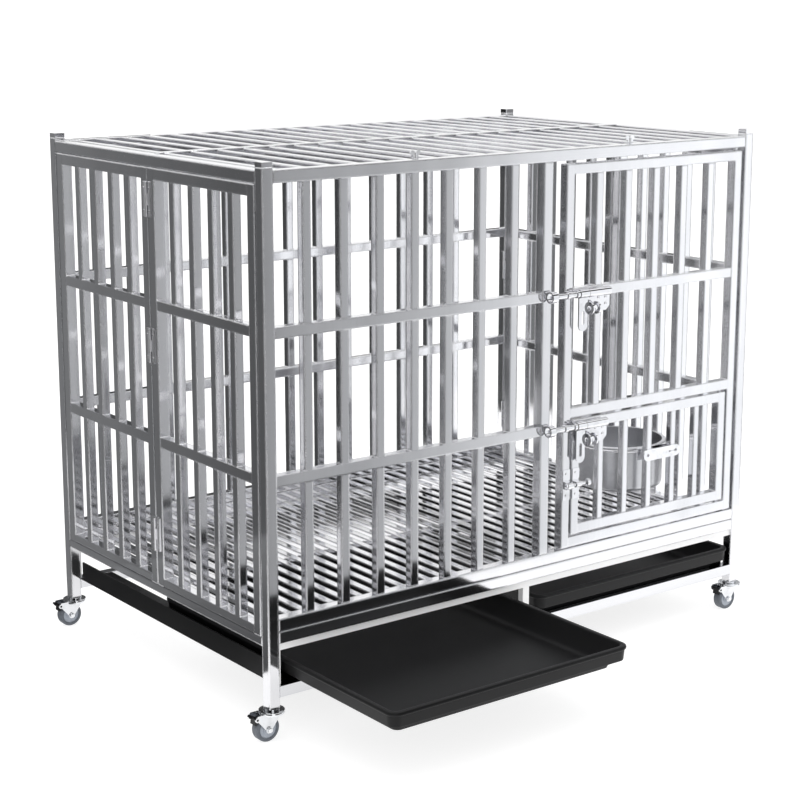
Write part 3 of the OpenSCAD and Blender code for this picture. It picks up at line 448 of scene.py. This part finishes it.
# %% Caster details
SKIRT = (  # radius and height above the floor in millimetres
    (17.0, 49.85), (19.4, 49.75), (20.9, 49.2), (21.7, 47.8), (21.8, 46.0), (21.4, 44.2), (20.6, 43.4),
    (20.0, 43.9), (19.6, 45.0))
SKIRT_STEPS = 40
SWIVEL_IN = 0.021  # from the fork's right end to the swivel pin
AXLE_OFFSET, AXLE_HEIGHT = 0.012, 0.0215  # from the swivel pin and the floor
CHEEK_OUT = 0.0115  # from the fork's middle to a cheek's outer face
NUT_RADIUS, NUT_THICK, NUT_BEVEL = 0.0046, 0.0032, 0.0004
WASHER_RADIUS, WASHER_RIM, WASHER_THICK, WASHER_SIDES = 0.0058, 0.0056, 0.001, 24
PEDAL_OFFSET, PEDAL_HEIGHT, PEDAL_LEAN = 0.0335, 0.0422, math.radians(24)
RIBS, RIB_FIRST, RIB_STEP, RIB_HEIGHT = 4, 0.0032, 0.0022, 0.0027
RIB_WIDTH, RIB_LENGTH, RIB_TAPER, RIB_THICK, RIB_BEVEL = 0.0011, 0.0125, 0.0012, 0.001, 0.0003


def soften(shape, verts, offset):
    """Bevels all edges of a new part of a bmesh."""
    edges = list({e for v in verts for e in v.link_edges})
    bmesh.ops.bevel(shape, geom=edges, offset=offset, affect="EDGES", segments=2, profile=0.5, material=-1)


def hex_nut(shape, place, facing):
    """A nut on its washer at one end of the axle."""
    at = Matrix.Translation(place) @ Vector((0, facing, 0)).to_track_quat("Z", "Y").to_matrix().to_4x4()
    nut = bmesh.ops.create_cone(shape, cap_ends=True, segments=6, radius1=NUT_RADIUS, radius2=NUT_RADIUS,
                                depth=NUT_THICK,
                                matrix=at @ Matrix.Translation((0, 0, WASHER_THICK + NUT_THICK / 2)))
    soften(shape, nut["verts"], NUT_BEVEL)
    bmesh.ops.create_cone(shape, cap_ends=True, segments=WASHER_SIDES, radius1=WASHER_RADIUS,
                          radius2=WASHER_RIM, depth=WASHER_THICK,
                          matrix=at @ Matrix.Translation((0, 0, WASHER_THICK / 2)))


def caster_trim(corner):
    """The skirt and nuts of one caster, which ride on its fork, and the ribs, which ride on its pedal."""
    low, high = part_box(corner + "_fork")
    middle = (low.y + high.y) / 2
    swivel = high.x - SWIVEL_IN
    trim = bmesh.new()
    spun(trim, [(MM * r, MM * z) for r, z in SKIRT], Matrix.Translation((swivel, middle, 0)), SKIRT_STEPS)
    for facing in (-1, 1):
        hex_nut(trim, (swivel - AXLE_OFFSET, middle + facing * CHEEK_OUT, AXLE_HEIGHT), facing)
    piece(corner + "_caster_trim", trim, CASTER_METAL, corner + "_fork")
    ribs = bmesh.new()
    pivot = (Matrix.Translation((swivel - PEDAL_OFFSET, middle, PEDAL_HEIGHT))
             @ Matrix.Rotation(PEDAL_LEAN, 4, "Y"))
    for k in range(RIBS):
        place = Matrix.Translation((-RIB_FIRST - RIB_STEP * k, 0, RIB_HEIGHT))
        size = Matrix.Diagonal((RIB_WIDTH, RIB_LENGTH - RIB_TAPER * k, RIB_THICK, 1))
        bar = bmesh.ops.create_cube(ribs, size=1, matrix=pivot @ place @ size)
        soften(ribs, bar["verts"], RIB_BEVEL)
    piece(corner + "_pedal_ribs", ribs, PEDAL, corner + "_brake")


for corner in CORNERS:
    caster_trim(corner)
print("caster details made")

# %% [markdown]
# The floor is a plain pale sheet, large enough to fill the picture. It glows a little, as a lit backdrop
# does, so that the shadow under the crate stays faint.

# %% Pale floor
FLOOR_SIDE = 400.0
FLOOR_GLOW = 0.80


def flat_sheet(name, size, material, matrix=Matrix()):
    """One face that belongs to the stage."""
    mesh = bpy.data.meshes.new(name)
    shape = bmesh.new()
    bmesh.ops.create_grid(shape, x_segments=1, y_segments=1, size=0.5,
                          matrix=matrix @ Matrix.Diagonal((size[0], size[1], 1, 1)))
    shape.to_mesh(mesh)
    shape.free()
    mesh.materials.append(material)
    sheet = bpy.data.objects.new(name, mesh)
    bpy.context.scene.collection.objects.link(sheet)
    return sheet


pale = Finish("pale_floor", metallic=0.0, roughness=0.9, emission_color=(1, 1, 1, 1),
              emission_strength=FLOOR_GLOW)
patches = pale.noise(pale.place(), scale=1.2)
pale.feed(base_color=pale.mix(patches, (0.36, 0.36, 0.36, 1), (0.38, 0.38, 0.38, 1)))
flat_sheet("floor", (FLOOR_SIDE, FLOOR_SIDE), pale.material)
print("floor laid")

# %% [markdown]
# Steel has no colour of its own in a picture: it shows what stands around it. So the room is white, and
# graded cards stand about the crate as they do in a product studio. A card is a glowing sheet with a colour
# ramp along it, which shows in reflections alone. One lamp overhead adds a soft shadow.

# %% Lamp and cards
CARD_STRENGTH = 1.5
CARD_TINT = (0.965, 0.98, 1.0)
STREAKS, STREAK_SHARE = (14, 14, 1.2), 0.3  # upright streaks, and how much they darken a card


def soft_light(name, place, target, size, watts):
    """A rectangular lamp that looks at a target."""
    lamp = bpy.data.lights.new(name, "AREA")
    lamp.shape = "RECTANGLE"
    lamp.size, lamp.size_y = size
    lamp.energy = watts
    made = bpy.data.objects.new(name, lamp)
    made.location = place
    made.rotation_euler = (Vector(target) - Vector(place)).to_track_quat("-Z", "Y").to_euler()
    bpy.context.scene.collection.objects.link(made)


def card(name, start, end, rise, levels):
    """A card from start to end, as wide as rise, whose grey runs through the levels along its length."""
    start, end, rise = Vector(start), Vector(end), Vector(rise)
    along = end - start
    grey = Finish(name, metallic=0.0, roughness=1.0, specular_ior_level=0.0, base_color=(0, 0, 0, 1),
                  emission_strength=CARD_STRENGTH)
    run = grey.node("ShaderNodeVectorMath", {"operation": "DOT_PRODUCT"},
                    {0: grey.place(move=-start), 1: along / along.length_squared}, out="Value")
    stops = [(k / (len(levels) - 1), [level * tint / CARD_STRENGTH for tint in CARD_TINT])
             for k, level in enumerate(levels)]
    ramp = grey.node("ShaderNodeValToRGB", {"stops": stops}, {"Fac": run})
    streak = grey.noise(grey.place(scale=STREAKS), detail=2.0)
    grey.feed(emission_color=grey.mix(streak * STREAK_SHARE, ramp, (0, 0, 0, 1)))
    across = Matrix((along, rise, along.cross(rise).normalized())).transposed().to_4x4()
    made = flat_sheet(name, (1, 1), grey.material, Matrix.Translation(start + (along + rise) / 2) @ across)
    made.visible_camera = made.visible_diffuse = made.visible_shadow = False


soft_light("light_over", (-0.4, -0.8, 3.6), (0.0, 0.0, 0.45), (3.5, 3.0), 40)
print("lamp set")

# %% [markdown]
# Each card has a task. The front faces mirror the front card, which runs from black at the left to white at
# the right. The left faces mirror the card behind on the left and a second one on the ground, and the bars
# inside mirror darker cards further back. Nothing stands where the floor bars look, so they mirror white.
# Black cards in front of the near corner leave a white gap beside them: the rounded edges of the tubes
# catch both, and draw a thin line along each bar. Black strips stand where the sides of the top bars look.
# A grey card stands at each side for the views from there.

# %% White room and its cards
FRONT, BEHIND, FAR_BEHIND = -0.82, 0.58, 1.8  # where cards stand along Y
FAR_LEFT, FAR_RIGHT = -1.6, 1.35  # and along X
GROUND = 0.004
TALL = (0, 0, 1.0)
BLACK = (0.02, 0.02)
ROOM_STRENGTH = 1.05

world = bpy.data.worlds.new("studio")
bpy.context.scene.world = world
world.use_nodes = True
world.node_tree.nodes["Background"].inputs["Color"].default_value = (1.0, 1.0, 1.0, 1)
world.node_tree.nodes["Background"].inputs["Strength"].default_value = ROOM_STRENGTH
card("card_back_left", (-1.55, BEHIND, 0), (-0.20, BEHIND, 0), (0, 0, 0.93),
     (0.06, 0.09, 0.12, 0.17, 0.24, 0.12, 0.08))
card("card_behind", (-1.75, FAR_BEHIND, 0), (0.0, FAR_BEHIND, 0), (0, 0, 0.62), (0.04, 0.06, 0.10, 0.14))
card("card_behind_high", (-1.75, FAR_BEHIND, 0.62), (0.0, FAR_BEHIND, 0.62), (0, 0, 0.23), BLACK)
card("card_ground_behind", (-0.20, 0.60, GROUND), (-0.20, FAR_BEHIND, GROUND), (-1.5, 0, 0),
     (0.05, 0.08, 0.12))
card("card_ground_left", (-0.56, -0.10, GROUND), (-0.56, BEHIND, GROUND), (-1.0, 0, 0), (0.09, 0.16, 0.26))
card("card_front", (-0.55, FRONT, 0), (FAR_RIGHT, FRONT, 0), TALL,
     (0.02, 0.20, 0.48, 0.55, 0.70, 0.98, 1.28, 1.38, 1.44, 1.46, 1.46))
card("card_near_front", (FAR_LEFT, FRONT, 0), (-0.80, FRONT, 0), TALL, (0.01, 0.01))
card("card_strip_over", (FAR_LEFT, FRONT, 1.04), (FAR_RIGHT, FRONT, 1.04), (0, 0, 0.9), BLACK)
card("card_near_left", (FAR_LEFT, FRONT, 0), (FAR_LEFT, BEHIND, 0), TALL, (0.02, 0.08, 0.30, 0.55, 0.60))
card("card_right", (FAR_RIGHT, FRONT, 0), (FAR_RIGHT, 0.60, 0), TALL, (0.15, 0.45, 0.65, 0.50))
card("card_strip_right", (FAR_RIGHT, 0.60, 0.755), (FAR_RIGHT, FAR_BEHIND, 0.755), (0, 0, 0.125), BLACK)
card("card_strip_behind", (0.25, FAR_BEHIND, 0.62), (FAR_RIGHT, FAR_BEHIND, 0.62), (0, 0, 0.18), BLACK)
print("room and cards set")

# %% [markdown]
# The camera's place, height and lens were fitted to edges and corners in the photograph, which is 800
# pixels square. A small shift keeps the uprights from leaning too much, as a product photographer's lens
# does.

# %% Camera
PICTURE = 800
LENS_PIXELS = 1836.6
HORIZON_ROW, AXIS_ROW = -17.7, 360.0
CAMERA_PLACE = (-2.0188, -2.6529, 1.1812)
CAMERA_HEADING = (0.6029, 0.7979, 0.0)

lens = bpy.data.cameras.new("camera")
lens.sensor_width = 36.0
lens.lens = lens.sensor_width * LENS_PIXELS / PICTURE
lens.shift_y = (AXIS_ROW - PICTURE / 2) / PICTURE
camera = bpy.data.objects.new("camera", lens)
camera.location = CAMERA_PLACE
pitch = math.atan((AXIS_ROW - HORIZON_ROW) / LENS_PIXELS)
level = Vector(CAMERA_HEADING).normalized()
look = level * math.cos(pitch) + Vector((0, 0, -math.sin(pitch)))
camera.rotation_euler = look.to_track_quat("-Z", "Y").to_euler()
bpy.context.scene.collection.objects.link(camera)
bpy.context.scene.camera = camera
bpy.context.scene.view_settings.view_transform = "Standard"
print("camera set, lens", round(lens.lens, 1), "mm, shift", round(lens.shift_y, 3))

# %% [markdown]
# Last, the script prints that it has finished.

# %% Finish
print("finished")
